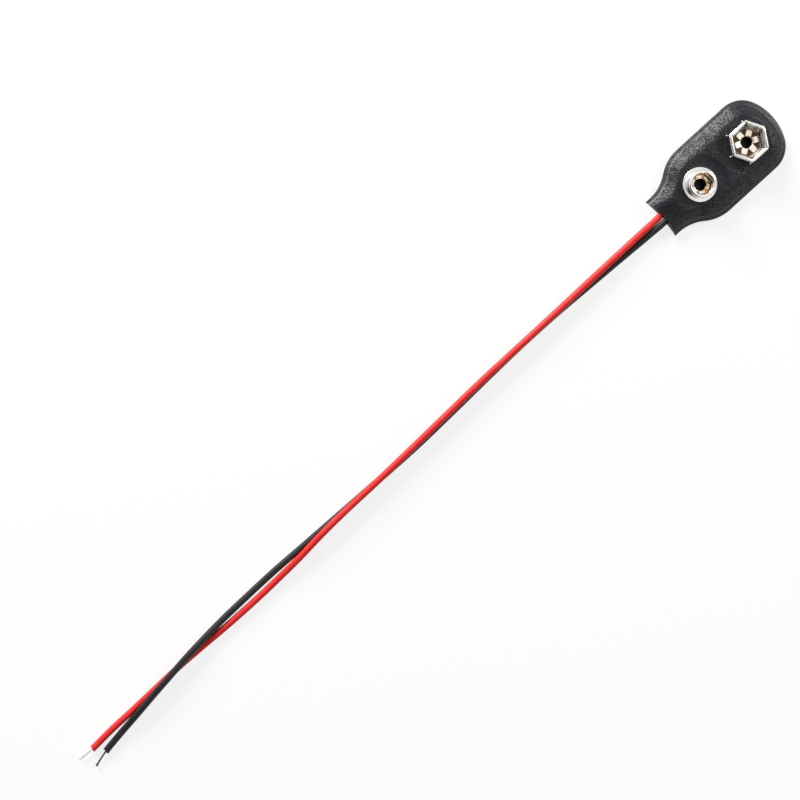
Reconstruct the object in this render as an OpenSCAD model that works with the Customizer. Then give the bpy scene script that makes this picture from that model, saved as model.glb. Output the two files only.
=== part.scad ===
// Snap connector for a 9 V block battery, lying on its back with the terminals up.
// A welded pouch of two vinyl sheets holds a stiff board. Brass eyelets rivet a plain
// stud and a spring-finger socket through the face, and two stranded leads leave the tail.
// The middle of the pouch stands at X = 0 and Y = 0, with the nose towards +X.

/* [Pouch] */
// Length from the tail corners to the tip of the nose
pouch_l = 31; // [29:0.5:36]
// Width across the straight sides
pouch_w = 16.5; // [16:0.5:20]
// Width of the tail where the leads come out
neck_w = 9.2; // [8.6:0.2:11]
// Length of the straight tail
neck_l = 1; // [0.6:0.1:2]
// Length of the curved shoulder between the tail and the sides
shoulder_l = 10.9; // [9:0.1:12]
// Radius of the nose at its tip
nose_r = 11.5; // [10:0.5:14]
// Radius of the nose at its two corners
corner_r = 5.8; // [5:0.1:6.5]
// Depth of the shallow V cut into the tail edge
tail_notch = 0.8; // [0.2:0.1:1.2]
// Thickness of each vinyl sheet
sheet_t = 0.5; // [0.4:0.05:0.8]
// Thickness of each sheet where the rim is welded
rim_t = 0.35; // [0.2:0.05:0.4]
// Width of the flat welded rim
rim_w = 0.9; // [0.6:0.1:1.2]
// Width of the slope between the rim and the flat middle
slope_w = 2; // [1.4:0.1:2.2]
// How far the back is drawn in beside the leads and the rivet heads
back_draw = 0.35; // [0.1:0.05:0.5]

/* [Board] */
// Thickness of the stiff board behind the face
board_t = 0.8; // [0.6:0.1:1.2]
// Gap between the board's side and the slope of the face
board_gap = 0.75; // [0.4:0.05:1]
// Width of board that shows round the flange of the stud
board_margin = 0.4; // [0.2:0.1:0.8]

/* [Terminals] */
// Distance between the two terminals
terminal_pitch = 12.7; // [12:0.1:13]
// How far the pair sits ahead of the middle of the pouch
terminal_ahead = 1.1; // [0.6:0.1:1.4]
// Thickness of the terminals' sheet metal
metal_t = 0.25; // [0.2:0.01:0.3]
// Radius to the middle of the metal where a terminal's floor turns up
floor_bend = 0.25; // [0.2:0.01:0.3]
// Outer diameter of the stud
stud_d = 5.7; // [5.5:0.1:6]
// Height of the stud above the face
stud_h = 2.8; // [2.5:0.1:3.4]
// Width of the stud's folded lip
stud_lip = 0.76; // [0.74:0.01:1]
// Length of the stud's straight wall under the lip
stud_land = 1; // [0.6:0.1:1.1]
// Depth of the waist that the battery's spring closes on
stud_waist = 0.17; // [0.1:0.01:0.2]
// Outer diameter of the stud's flange
stud_flange_d = 7.1; // [6.6:0.1:7.4]
// Width of the socket across its flats
socket_w = 7.6; // [7:0.1:7.8]
// Height of the socket above the face
socket_h = 2.75; // [2.5:0.05:3.4]
// Width between opposite spring fingers
socket_grip = 5.65; // [5.4:0.05:5.7]
// Radius to the middle of the metal where a finger folds over
finger_fold = 0.22; // [0.18:0.01:0.26]
// Height of the grip line above the face
grip_h = 1.35; // [1.2:0.05:1.6]
// Radius to the middle of the metal where a finger's end curls back
grip_curl = 0.3; // [0.2:0.05:0.4]
// Width of the slits between the fingers
finger_slit = 0.16; // [0.1:0.02:0.3]

/* [Eyelets] */
// Bore of both eyelets
eyelet_bore = 2.2; // [2:0.05:2.3]
// Wall of both eyelets
eyelet_t = 0.2; // [0.15:0.01:0.25]
// Diameter of the head behind the board
eyelet_head_d = 4.4; // [4:0.1:5]
// Width of each petal that is split and turned out
petal_w = 1.25; // [1.15:0.01:1.28]
// Reach of the petals inside the stud, from its axis
stud_petal = 1.9; // [1.6:0.05:1.95]
// Reach of the petals inside the socket, from its axis
socket_petal = 2.5; // [2:0.05:2.8]
// Clearance of the eyelets in their holes, on the radius
eyelet_fit = 0.02; // [0.01:0.01:0.1]

/* [Leads] */
// Outer diameter of the insulation
wire_d = 1.4; // [1.2:0.05:1.4]
// Diameter of the bundle of strands
strand_d = 0.4; // [0.3:0.05:0.6]
// Clearance of the strands in the insulation, on the radius
strand_fit = 0.02; // [0.01:0.01:0.05]
// Clearance of the leads between the sheets and under the board
lead_fit = 0.05; // [0.03:0.01:0.2]
// Radius of the solder on each eyelet head
solder_r = 0.8; // [0.6:0.05:1]
// Depth of solder under the strands
solder_cover = 0.1; // [0.05:0.05:0.3]

/* [Hidden] */
$fn = 64;

// Heights of the stack, from the floor up
weld_z = sheet_t + wire_d / 2 + lead_fit;
board_z = sheet_t + wire_d + 2 * lead_fit;
face_z = board_z + board_t;
seat_z = face_z + sheet_t;
head_z = board_z - eyelet_t;

// Places along the pouch
tail_x = -pouch_l / 2;
tip_x = pouch_l / 2;
stud_x = terminal_ahead - terminal_pitch / 2;
socket_x = terminal_ahead + terminal_pitch / 2;

// The pouch outline, half of it, as arcs that meet in tangents
half_w = pouch_w / 2;
half_neck = neck_w / 2;
neck_end_x = tail_x + neck_l;
side_x = neck_end_x + shoulder_l;
shoulder_drop = half_w - half_neck;
shoulder_r = (pow(shoulder_l, 2) + pow(shoulder_drop, 2)) / (4 * shoulder_drop);
shoulder_a = asin(shoulder_l / 2 / shoulder_r);
corner_a = asin((half_w - corner_r) / (nose_r - corner_r));
nose_x = tip_x - nose_r;
corner_x = nose_x + (nose_r - corner_r) * cos(corner_a);

// The board, round behind each terminal
board_r = half_w - rim_w - slope_w - board_gap;
board_tail_r = stud_flange_d / 2 + board_margin;
board_tail_x = stud_x - board_tail_r;

// The eyelets, bent at both ends, and the hole they need through every layer
eyelet_r = (eyelet_bore + eyelet_t) / 2;
bend_ratio = 1.25;
eyelet_bend = bend_ratio * eyelet_t;
hole_r = eyelet_r + eyelet_bend + eyelet_fit;
stud_petal_turn = 30;
socket_petal_turn = 5;

// Where the solder sits on each head: in the middle of its rim, on the side the lead comes from
solder_out = (eyelet_head_d + eyelet_bore) / 4;
stud_solder_turn = 180;
socket_solder_turn = 135;

// The socket's fingers and the eyelets' petals stand in sixes
sides = 6;
sector = 360 / sides;
curl_end = 250;

// The steps of each curve, and the longest step along a lead
arc_steps = 8;
side_steps = 5;
slope_shares = [0.15, 0.35, 0.6, 1];
middle_steps = 5;
ring_sides = 8;
ring_gap = 6;

// Points that each lead passes through, from its solder joint to its bare tip
red_route = [
    [6.1, 1.3, 1.25], [4.4, 2.8, 1.25], [2, 3.7, 1.25], [-1.5, 3.8, 1.25],
    [-5.5, 3.2, 1.25], [-9, 2.1, 1.25], [-12, 1.1, 1.25], [-15.5, 0.5, 1.25],
    [-20, 0.5, 1.6], [-26, 0.5, 1.85], [-34, 0.45, 2], [-44, 0.35, 2.15],
    [-54, 0.3, 2.2], [-64, 0.25, 2.15], [-74, 0, 2.15], [-84, -0.3, 2.15],
    [-94, -0.55, 2.2], [-104, -0.65, 2.2], [-111, -0.95, 2.05], [-117, -1.45, 1.5],
    [-123, -1.75, 0.85], [-130, -1.9, 0.72], [-138, -1.8, 0.72], [-146, -1.5, 0.72],
    [-152, -1.4, 0.72], [-158, -1.5, 0.72], [-164, -1.6, 0.72], [-170, -1.65, 0.72],
    [-175.5, -1.9, 0.72], [-179.1, -1.85, 0.6]
];
black_route = [
    [-6.7, 0, 1.25], [-8.9, -0.2, 1.25], [-12, -0.75, 1.25], [-15.5, -1, 1.25],
    [-20, -0.9, 0.85], [-26, -0.65, 0.72], [-34, -0.35, 0.72], [-44, 0, 0.72],
    [-54, 0.05, 0.72], [-64, -0.2, 0.72], [-74, -0.55, 0.72], [-84, -0.8, 0.72],
    [-94, -0.7, 0.72], [-104, -0.5, 0.72], [-111, -0.35, 0.72], [-117, -0.2, 0.72],
    [-123, -0.05, 0.72], [-130, -0.1, 0.75], [-138, -0.25, 1.1], [-146, -0.7, 2],
    [-152, -1.3, 2.2], [-158, -2, 2.1], [-164, -2.8, 1.6], [-169, -3.45, 0.8],
    [-173.8, -4.15, 0.72], [-177.4, -5.1, 0.6]
];

// The points of each route that come before the tail edge
red_inside = 7;
black_inside = 3;

// Points along an arc in the plane
function arc(centre, r, from, to) =
    [for (i = [0:arc_steps]) let (a = from + (to - from) * i / arc_steps) centre + r * [cos(a), sin(a)]];

function reversed(list) = [for (i = [len(list) - 1:-1:0]) list[i]];
function mix(a, b, share) = a + (b - a) * share;
function smooth(t) = let (s = min(max(t, 0), 1)) s * s * (3 - 2 * s);

// Distance in plan from a point to the line between two others
function reach(p, a, b) =
    let (along = b - a, share = min(max((p - a) * along / (along * along), 0), 1))
    norm(p - a - share * along);

// Stations along half of the outline, each a point and the direction out of the pouch there
function stations() = concat(
    [[[tail_x, half_neck], [0, 1]]],
    [for (i = [0:arc_steps]) let (a = shoulder_a * i / arc_steps)
        [[neck_end_x + shoulder_r * sin(a), half_neck + shoulder_r * (1 - cos(a))], [-sin(a), cos(a)]]],
    [for (i = [arc_steps - 1:-1:0]) let (a = shoulder_a * i / arc_steps)
        [[side_x - shoulder_r * sin(a), half_w - shoulder_r * (1 - cos(a))], [-sin(a), cos(a)]]],
    [for (i = [1:side_steps - 1]) [[mix(side_x, corner_x, i / side_steps), half_w], [0, 1]]],
    [for (i = [0:arc_steps]) let (a = mix(90, corner_a, i / arc_steps))
        [[corner_x, half_w - corner_r] + corner_r * [cos(a), sin(a)], [cos(a), sin(a)]]],
    [for (i = [1:arc_steps / 2]) let (a = corner_a * (1 - 2 * i / arc_steps))
        [[nose_x, 0] + nose_r * [cos(a), sin(a)], [cos(a), sin(a)]]]
);

// Depth of each column from the edge, and how much of the full rise it has there
insets = concat([0, rim_w], [for (s = slope_shares) rim_w + slope_w * s]);
rises = concat([0, 0], [for (s = slope_shares) 1 - pow(1 - s, 2)], [for (i = [1:middle_steps]) 1]);
slope_end = len(insets) - 1;
middle = slope_end + middle_steps;

// Columns of one station, from the edge in to the middle line
function columns(station) =
    let (inner = station[0] - insets[slope_end] * station[1])
    concat(
        [for (d = insets) station[0] - d * station[1]],
        [for (i = [1:middle_steps]) [inner[0], inner[1] * (1 - i / middle_steps)]]
    );

// The tail edge is cut back to a shallow V that fades out along the shoulder
function notched(p) =
    let (across = max(0, 1 - abs(p[1]) / half_neck), along = max(0, 1 - (p[0] - tail_x) / shoulder_l))
    p + [tail_notch * across * along, 0];

// One sheet of the pouch between a lower and an upper surface, given in plan and share of rise
module sheet(lower, upper) {
    edge = stations();
    last = len(edge) - 1;
    row = 2 * middle + 1;
    half = [for (s = edge) [for (p = columns(s)) notched(p)]];
    share = [for (j = [0:row - 1]) rises[min(j, 2 * middle - j)]];
    plan = concat(
        [for (k = [0:last - 1]) for (j = [0:row - 1]) let (p = half[k][min(j, row - 1 - j)])
            [p[0], j > middle ? -p[1] : p[1], share[j]]],
        [for (j = [0:slope_end]) [half[last][j][0], 0, share[j]]]
    );
    count = len(plan);
    at = function(k, j) k < last ? k * row + j : last * row + min(j, row - 1 - j, slope_end);
    quads = concat(
        [for (k = [0:last - 1]) for (j = [0:row - 2])
            [at(k, j), at(k + 1, j), at(k + 1, j + 1), at(k, j + 1)]],
        [for (k = [0:last - 1]) for (j = [0:row - 2])
            [count + at(k, j + 1), count + at(k + 1, j + 1), count + at(k + 1, j), count + at(k, j)]],
        [for (k = [0:last - 1]) [at(k + 1, 0), at(k, 0), count + at(k, 0), count + at(k + 1, 0)]],
        [for (k = [0:last - 1]) let (j = row - 1)
            [at(k, j), at(k + 1, j), count + at(k + 1, j), count + at(k, j)]],
        [for (j = [0:row - 2]) [at(0, j), at(0, j + 1), count + at(0, j + 1), count + at(0, j)]]
    );
    polyhedron(
        points = concat(
            [for (p = plan) [p[0], p[1], upper(p)]],
            [for (p = plan) [p[0], p[1], lower(p)]]
        ),
        faces = [for (q = quads) for (t = [[q[0], q[1], q[2]], [q[0], q[2], q[3]]])
            if (t[0] != t[1] && t[1] != t[2] && t[2] != t[0]) t]
    );
}

// Underside of the face: a low tunnel over the leads at the tail, the board's height elsewhere
function face_under(p) =
    let (ahead = smooth((p[0] - tail_x) / (board_tail_x - board_margin - sheet_t - tail_x)))
    weld_z + p[2] * mix(wire_d / 2 + lead_fit, face_z - weld_z, ahead);

function thickness(share) = mix(rim_t, sheet_t, min(1, share / rises[2]));

// How far a point of the back lies from the leads and rivet heads that press it down
function from_contents(p) =
    let (
        q = plan_of(p),
        heads = [for (x = [stud_x, socket_x]) norm(q - [x, 0]) - eyelet_head_d / 2]
    )
    min(concat(from_lead(q, red_route, red_inside), from_lead(q, black_route, black_inside), heads));

function from_lead(q, route, inside) =
    [for (i = [0:inside - 1]) reach(q, plan_of(route[i]), plan_of(route[i + 1]))];

function plan_of(p) = [p[0], p[1]];

// Top of the back: flat under the leads and rivet heads, drawn in beside them
function back_over(p) =
    let (drawn = back_draw * smooth((from_contents(p) - wire_d / 2) / slope_w))
    weld_z - p[2] * (weld_z - sheet_t - drawn);

module back_sheet() {
    color("#1d1d1f")
        sheet(function(p) back_over(p) - thickness(p[2]), function(p) back_over(p));
}

module face_sheet() {
    color("#1a1a1c")
        difference() {
            sheet(function(p) face_under(p), function(p) face_under(p) + thickness(p[2]));
            eyelet_holes(face_z - sheet_t, seat_z + sheet_t);
        }
}

module eyelet_holes(from, to) {
    for (x = [stud_x, socket_x])
        translate([x, 0, from])
            cylinder(r = hole_r, h = to - from);
}

module stiffener_board() {
    flank = acos((board_r - board_tail_r) / terminal_pitch);
    side = [-cos(flank), sin(flank)];
    color("#8a6b45")
        difference() {
            translate([0, 0, board_z])
                linear_extrude(height = board_t) {
                    translate([socket_x, 0]) circle(r = board_r);
                    translate([stud_x, 0]) circle(r = board_tail_r);
                    polygon([
                        [socket_x, 0] + board_r * side,
                        [stud_x, 0] + board_tail_r * side,
                        [stud_x, 0] + board_tail_r * [side[0], -side[1]],
                        [socket_x, 0] + board_r * [side[0], -side[1]]
                    ]);
                }
            eyelet_holes(board_z - board_t, face_z + board_t);
        }
}

// Outline of folded metal, from the two lines that run along its faces
function folded(line, t) = concat(line(t / 2), reversed(line(-t / 2)));

// One sixth of a turn, with its point a little out from the axis
module wedge(point, out, height) {
    flare = (out - point) * tan(sector / 2);
    linear_extrude(height = height)
        polygon([[point, 0], [out, flare], [out, -flare]]);
}

// Section of the stud: flange, waist, straight wall, folded lip, inner wall and floor
stud_line = function(o)
    let (
        floor_z = seat_z + metal_t / 2,
        wall = (stud_d - metal_t) / 2,
        waist = wall - stud_waist,
        inner = stud_d / 2 - stud_lip + metal_t / 2,
        lip = (wall - inner) / 2,
        lip_z = seat_z + stud_h - metal_t / 2 - lip,
        swell = acos(1 - stud_waist / 2 / floor_bend),
        swell_z = lip_z - stud_land
    )
    concat(
        [[stud_flange_d / 2, floor_z + o]],
        arc([waist + floor_bend, floor_z + floor_bend], floor_bend - o, 270, 180),
        arc([waist + floor_bend, swell_z - 2 * floor_bend * sin(swell)], floor_bend - o, 180, 180 - swell),
        arc([wall - floor_bend, swell_z], floor_bend + o, -swell, 0),
        arc([wall - lip, lip_z], lip + o, 0, 180),
        arc([inner - floor_bend, floor_z + floor_bend], floor_bend - o, 0, -90),
        [[hole_r, floor_z + o]]
    );

module stud_terminal() {
    color("#c9c9c6")
        translate([stud_x, 0, 0])
            rotate_extrude()
                polygon(folded(stud_line, metal_t));
}

// Section of one spring finger: floor, wall, fold over the rim, grip and curled end
finger_line = function(o)
    let (
        floor_z = seat_z + metal_t / 2,
        wall = (socket_w - metal_t) / 2,
        grip = (socket_grip + metal_t) / 2,
        fold_z = seat_z + socket_h - metal_t / 2 - finger_fold
    )
    concat(
        [[hole_r + metal_t, floor_z - o]],
        arc([wall - floor_bend, floor_z + floor_bend], floor_bend + o, -90, 0),
        arc([wall - finger_fold, fold_z], finger_fold + o, 0, 180),
        arc([grip + grip_curl, seat_z + grip_h], grip_curl + o, 180, curl_end)
    );

module socket_terminal() {
    floor_side = socket_w - metal_t - 2 * floor_bend;
    color("#cfcfcc")
        translate([socket_x, 0, 0])
            difference() {
                union() {
                    translate([0, 0, seat_z])
                        cylinder(d = floor_side / cos(sector / 2), h = metal_t, $fn = sides);
                    for (i = [0:sides - 1])
                        rotate((i + 0.5) * sector)
                            intersection() {
                                rotate([90, 0, 0])
                                    linear_extrude(height = socket_w, center = true)
                                        polygon(folded(finger_line, metal_t));
                                wedge(finger_slit, socket_w, seat_z + 2 * socket_h);
                            }
                }
                translate([0, 0, face_z])
                    cylinder(r = hole_r, h = seat_z + metal_t);
            }
}

// An eyelet: head behind the board, barrel through the stack, split end turned out on the floor
module eyelet(x, petal, turn) {
    floor_z = seat_z + metal_t;
    bend_r = eyelet_r + eyelet_bend;
    bend_z = floor_z + eyelet_t / 2 - eyelet_bend;
    line = function(o) concat(
        [[eyelet_head_d / 2, head_z + eyelet_t / 2 + o]],
        arc([bend_r, head_z + eyelet_t / 2 + eyelet_bend], eyelet_bend - o, 270, 180),
        arc([bend_r, bend_z], eyelet_bend - o, 180, 90),
        [[petal, floor_z + eyelet_t / 2 - o]]
    );
    color("#b08d3c")
        translate([x, 0, 0])
            difference() {
                rotate_extrude()
                    polygon(folded(line, eyelet_t));
                for (i = [0:sides - 1])
                    translate([0, 0, bend_z])
                        rotate(turn + i * sector)
                            wedge(petal_w, 2 * petal, 2 * eyelet_bend);
            }
}

module stud_eyelet() {
    eyelet(stud_x, stud_petal, stud_petal_turn);
}

module socket_eyelet() {
    eyelet(socket_x, socket_petal, socket_petal_turn);
}

// Ring of points round a path, square to it and level across
function ring(path, i, r) =
    let (
        along = path[min(i + 1, len(path) - 1)] - path[max(i - 1, 0)],
        level = cross([0, 0, 1], along),
        side = level / norm(level),
        up = cross(along, side) / norm(along)
    )
    [for (k = [0:ring_sides - 1]) let (a = 360 * (k + 0.5) / ring_sides)
        path[i] + r * (cos(a) * side + sin(a) * up)];

// Smooth curve through the points of a route from one index to another
function curve_point(a, b, c, d, t) =
    b + (c - a) * t / 2 + (2 * a - 5 * b + 4 * c - d) * t * t / 2 + (3 * b - a - 3 * c + d) * t * t * t / 2;

function run(route, from, to) = concat(
    [for (i = [from:to - 1])
        let (
            before = route[max(i - 1, 0)],
            after = route[min(i + 2, len(route) - 1)],
            steps = ceil(norm(route[i + 1] - route[i]) / ring_gap)
        )
        for (k = [0:steps - 1])
            curve_point(before, route[i], route[i + 1], after, k / steps)],
    [route[to]]
);

// Skin of a tube between rings, as triangles
function skin(first, rings) = [for (i = [0:rings - 2]) for (k = [0:ring_sides - 1])
    let (
        a = first + i * ring_sides + k,
        b = first + i * ring_sides + (k + 1) % ring_sides,
        c = b + ring_sides,
        d = a + ring_sides
    )
    each [[a, b, c], [a, c, d]]];

function flipped(faces) = [for (f = faces) reversed(f)];

// A solid round bundle along a path
module bundle(path, r) {
    rings = len(path);
    end = (rings - 1) * ring_sides;
    polyhedron(
        points = [for (i = [0:rings - 1]) each ring(path, i, r)],
        faces = concat(
            flipped(skin(0, rings)),
            [[for (k = [0:ring_sides - 1]) k]],
            [[for (k = [ring_sides - 1:-1:0]) end + k]]
        )
    );
}

// A hollow sleeve along a path
module sleeve(path, r, bore_r) {
    rings = len(path);
    inner = rings * ring_sides;
    end = (rings - 1) * ring_sides;
    lids = [for (k = [0:ring_sides - 1]) let (n = (k + 1) % ring_sides)
        each [[k, n, inner + n], [k, inner + n, inner + k]]];
    far_lids = [for (f = lids) [for (v = f) v + end]];
    polyhedron(
        points = concat(
            [for (i = [0:rings - 1]) each ring(path, i, r)],
            [for (i = [0:rings - 1]) each ring(path, i, bore_r)]
        ),
        faces = concat(flipped(skin(0, rings)), skin(inner, rings), lids, flipped(far_lids))
    );
}

module insulation(route) {
    sleeve(run(route, 1, len(route) - 2), wire_d / 2, strand_d / 2 + strand_fit);
}

module strands(route) {
    bundle(run(route, 0, len(route) - 1), strand_d / 2);
}

// Solder that holds the end of a lead to an eyelet head
module solder(x, turn, route) {
    depth = head_z - weld_z + strand_d / 2 + solder_cover;
    color("#b9bbbd")
        difference() {
            translate([x, 0, 0])
                rotate(turn)
                    translate([solder_out, 0, head_z])
                        rotate_extrude()
                            polygon(concat(
                                [[0, 0]],
                                [for (i = [0:arc_steps]) let (a = 90 * i / arc_steps)
                                    [solder_r * cos(a), -depth * sin(a)]]
                            ));
            bundle(run(route, 0, 2), strand_d / 2 + strand_fit);
        }
}

module stud_solder() {
    solder(stud_x, stud_solder_turn, black_route);
}

module socket_solder() {
    solder(socket_x, socket_solder_turn, red_route);
}

module red_strands() {
    color("#c4c0b8") strands(red_route);
}

module red_insulation() {
    color("#c8281e") insulation(red_route);
}

module black_strands() {
    color("#c4c0b8") strands(black_route);
}

module black_insulation() {
    color("#202022") insulation(black_route);
}

back_sheet();
face_sheet();
stiffener_board();
stud_terminal();
socket_terminal();
stud_eyelet();
socket_eyelet();
stud_solder();
socket_solder();
red_strands();
red_insulation();
black_strands();
black_insulation();
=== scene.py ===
"""Looks of a 9 V battery snap: a welded vinyl pouch, two riveted terminals and two bare-ended leads."""
import math

import bpy
import numpy as np
from bpy.props import FloatProperty, FloatVectorProperty, PointerProperty
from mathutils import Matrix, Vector, noise
from mathutils.geometry import delaunay_2d_cdt


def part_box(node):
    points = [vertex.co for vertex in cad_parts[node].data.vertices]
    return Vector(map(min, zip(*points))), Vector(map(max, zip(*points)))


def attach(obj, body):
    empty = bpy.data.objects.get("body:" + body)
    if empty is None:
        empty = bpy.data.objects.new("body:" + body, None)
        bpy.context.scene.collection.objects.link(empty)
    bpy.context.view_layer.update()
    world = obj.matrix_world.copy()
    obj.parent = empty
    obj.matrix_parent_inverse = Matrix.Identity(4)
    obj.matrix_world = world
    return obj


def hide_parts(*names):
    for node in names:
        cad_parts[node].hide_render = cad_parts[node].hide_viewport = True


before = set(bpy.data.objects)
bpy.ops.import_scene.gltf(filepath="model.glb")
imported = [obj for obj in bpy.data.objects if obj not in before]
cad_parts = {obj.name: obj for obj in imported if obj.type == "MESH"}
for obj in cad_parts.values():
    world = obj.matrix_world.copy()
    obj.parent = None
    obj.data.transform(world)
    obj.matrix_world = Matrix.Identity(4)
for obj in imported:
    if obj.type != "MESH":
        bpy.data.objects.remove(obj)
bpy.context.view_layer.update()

bl_info = {
    "name": "Battery Snap",
    "version": (1, 0, 0),
    "blender": (4, 5, 0),
    "location": "3D View > Sidebar > Battery Snap",
    "description": "Dresses the solids of a 9 V battery snap with its vinyl, plated and wire finishes",
    "category": "Object",
}

BODY = "root"
# Sides of the socket, petals of an eyelet, and strands round the middle one of a lead
SIDES = 6
SECTOR = 2 * math.pi / SIDES
UP = np.array([0.0, 0.0, 1.0])

# Points that each lead passes through, from its solder joint to its bare tip, in metres
RED_ROUTE = np.array([
    (6.1, 1.3, 1.25), (4.4, 2.8, 1.25), (2, 3.7, 1.25), (-1.5, 3.8, 1.25),
    (-5.5, 3.2, 1.25), (-9, 2.1, 1.25), (-12, 1.1, 1.25), (-15.5, 0.5, 1.25),
    (-20, 0.5, 1.6), (-26, 0.5, 1.85), (-34, 0.45, 2), (-44, 0.35, 2.15),
    (-54, 0.3, 2.2), (-64, 0.25, 2.15), (-74, 0, 2.15), (-84, -0.3, 2.15),
    (-94, -0.55, 2.2), (-104, -0.65, 2.2), (-111, -0.95, 2.05), (-117, -1.45, 1.5),
    (-123, -1.75, 0.85), (-130, -1.9, 0.72), (-138, -1.8, 0.72), (-146, -1.5, 0.72),
    (-152, -1.4, 0.72), (-158, -1.5, 0.72), (-164, -1.6, 0.72), (-170, -1.65, 0.72),
    (-175.5, -1.9, 0.72), (-179.1, -1.85, 0.6),
]) / 1000
BLACK_ROUTE = np.array([
    (-6.7, 0, 1.25), (-8.9, -0.2, 1.25), (-12, -0.75, 1.25), (-15.5, -1, 1.25),
    (-20, -0.9, 0.85), (-26, -0.65, 0.72), (-34, -0.35, 0.72), (-44, 0, 0.72),
    (-54, 0.05, 0.72), (-64, -0.2, 0.72), (-74, -0.55, 0.72), (-84, -0.8, 0.72),
    (-94, -0.7, 0.72), (-104, -0.5, 0.72), (-111, -0.35, 0.72), (-117, -0.2, 0.72),
    (-123, -0.05, 0.72), (-130, -0.1, 0.75), (-138, -0.25, 1.1), (-146, -0.7, 2),
    (-152, -1.3, 2.2), (-158, -2, 2.1), (-164, -2.8, 1.6), (-169, -3.45, 0.8),
    (-173.8, -4.15, 0.72), (-177.4, -5.1, 0.6),
]) / 1000
# Index of the point at which each lead leaves the pouch
RED_INSIDE = 7
BLACK_INSIDE = 3

# Half width of the line that the welding tool leaves, in metres
WELD_LINE = 0.00014
# How softly the puffed face meets the dish round a terminal, and how sharply that dish curves up
SOFT_MEET = 0.00005
DISH_CURVE = 100
# The face in the tail against the face ahead: width of its slope and its height
TAIL_RUN, TAIL_HEIGHT = 0.62, 0.484
# Share of the rise that the weld presses out of the rim
RIM_PRESSED = 0.45
# Share of the rise at which a sheet has its full thickness again
FULL_SHEET = 0.2775
# Seed of the bends in the grain, so that every run makes the same grain
WARP_SEED = 1
# Spacing of points: along the edge where it is only measured from, and on the hidden side of a sheet
COARSE_EDGE, COARSE_SHEET = 0.0003, 0.0006
# Radius and height inside each terminal up to which its metal gets painted shade
STUD_SHADED = (0.0023, 0.0014)
SOCKET_SHADED = (0.0029, 0.0004)
# What the spring fingers' rubbed insides add to the roughness of the plating
DULLED = 0.22
# Half widths of a corner tab of the socket, at its root and its end
TAB_ROOT, TAB_END = 0.00024, 0.00013

# Dark things that bright metal mirrors: two angles in degrees and the share of white that is left
CAMERA_DARK = (9, 18, 0.05)
TAIL_DARK = (30, 44, 0.03)
TAIL_DARK_TOWARD = (-0.85, -0.1, 0.52)
# The floor as it is seen: a grey that takes the shadow, and its own white
FLOOR_GREY = (0.22, 0.22, 0.22)
FLOOR_WHITE = 0.81
# The point that both lamps face
LAMPS_AIM = (-0.02, 0, 0)


def length(name, description, default):
    """A size in metres that a user may change."""
    return FloatProperty(
        name=name, description=description, default=default, min=0, unit="LENGTH", precision=5
    )


def colour(name, description, default):
    """A plain colour that a user may change."""
    return FloatVectorProperty(
        name=name, description=description, default=default, size=3, min=0, max=1, subtype="COLOR"
    )


def standpoint(name, description, default):
    """A point in metres that a user may move."""
    return FloatVectorProperty(
        name=name, description=description, default=default, size=3, subtype="TRANSLATION", unit="LENGTH"
    )


def wattage(name, description, default):
    """Power of a lamp that a user may change."""
    return FloatProperty(name=name, description=description, default=default, min=0, unit="POWER")


class PouchSettings(bpy.types.PropertyGroup):
    width: length("Width", "Across the straight sides", 0.0165)
    long: length("Length", "From the tail corners to the tip of the nose", 0.031)
    neck_width: length("Neck width", "Tail where the leads come out", 0.0092)
    neck_length: length("Neck length", "Straight part of the tail", 0.001)
    shoulder: length("Shoulder", "Length of the curve between the tail and the sides", 0.0109)
    nose_radius: length("Nose radius", "Nose at its tip", 0.0115)
    corner_radius: length("Corner radius", "Nose at its two corners", 0.0058)
    notch: length("Notch", "Depth of the V cut into the tail edge", 0.0008)
    sheet: length("Sheet", "Thickness of each vinyl sheet", 0.0005)
    rim_sheet: length("Rim sheet", "Thickness of each sheet where it is welded", 0.00035)
    rim: length("Rim", "Width of the welded rim", 0.0009)
    slope: length("Slope", "Width of the slope inside the rim", 0.002)
    cut_edge: length("Cut edge", "Thickness of each sheet where the welding tool cut it", 0.0002)
    face_pitch: FloatProperty(
        name="Face pitch", description="How steeply the face swells up inside the rim", default=0.8, min=0
    )
    face_straight: length("Face straight", "Width of the rim and the even slope inside it", 0.0019)
    face_level: length("Face level", "Distance from the edge at which the face is level", 0.0045)
    dish: length("Dish", "Flat round each terminal, pressed down by the riveting", 0.0005)
    back_draw: length("Back draw", "How far the back is drawn in beside what it holds", 0.00035)
    board: length("Board", "Thickness of the board behind the face", 0.0008)
    board_margin: length("Board margin", "How far the board reaches past the stud's flange", 0.0004)
    weld_bead: length("Weld bead", "Height of the line left by the welding tool", 0.00005)
    wrinkle: length("Wrinkle", "Height of the wrinkles that run in from the weld", 0.00005)
    grain_size: length("Grain size", "Across one pebble of the leather grain", 0.00038)
    grain_depth: length("Grain depth", "Depth of the creases in the leather grain", 0.00007)


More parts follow.
